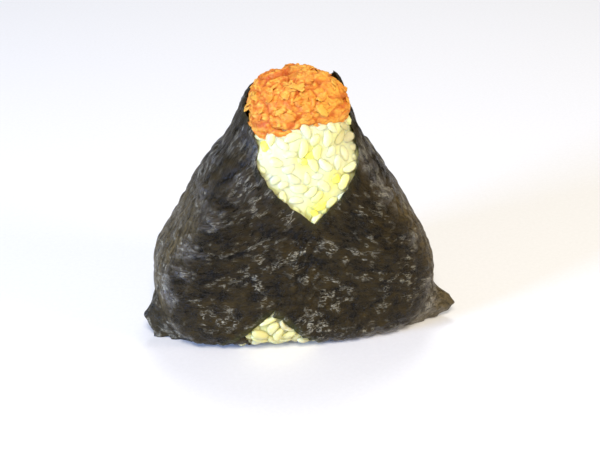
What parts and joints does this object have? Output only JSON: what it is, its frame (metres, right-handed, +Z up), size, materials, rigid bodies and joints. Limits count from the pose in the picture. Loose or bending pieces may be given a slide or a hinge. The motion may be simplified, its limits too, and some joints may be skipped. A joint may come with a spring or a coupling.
{
  "type": "onigiri rice ball",
  "caption": "Triangular rice ball standing upright in a wrap of dark seaweed, open at the front and crown, with orange flaked topping on its crown.",
  "frame": {"origin": "middle of the bounding box at the bottom, on the surface that the rice ball stands on", "axes": "+X to the right across the width, +Y from the open front to the back, +Z up to the topping"},
  "size_m": [0.0966, 0.0461, 0.0843],
  "materials": {
    "steamed_rice": "moist, slightly glossy cooked rice",
    "roasted_nori": "dark roasted seaweed sheet with a soft sheen",
    "flaked_topping": "moist fibrous flakes"
  },
  "bodies": {
    "root": {"rice_ball": "steamed_rice", "nori_wrap": "roasted_nori", "topping": "flaked_topping"}
  },
  "joints": []
}
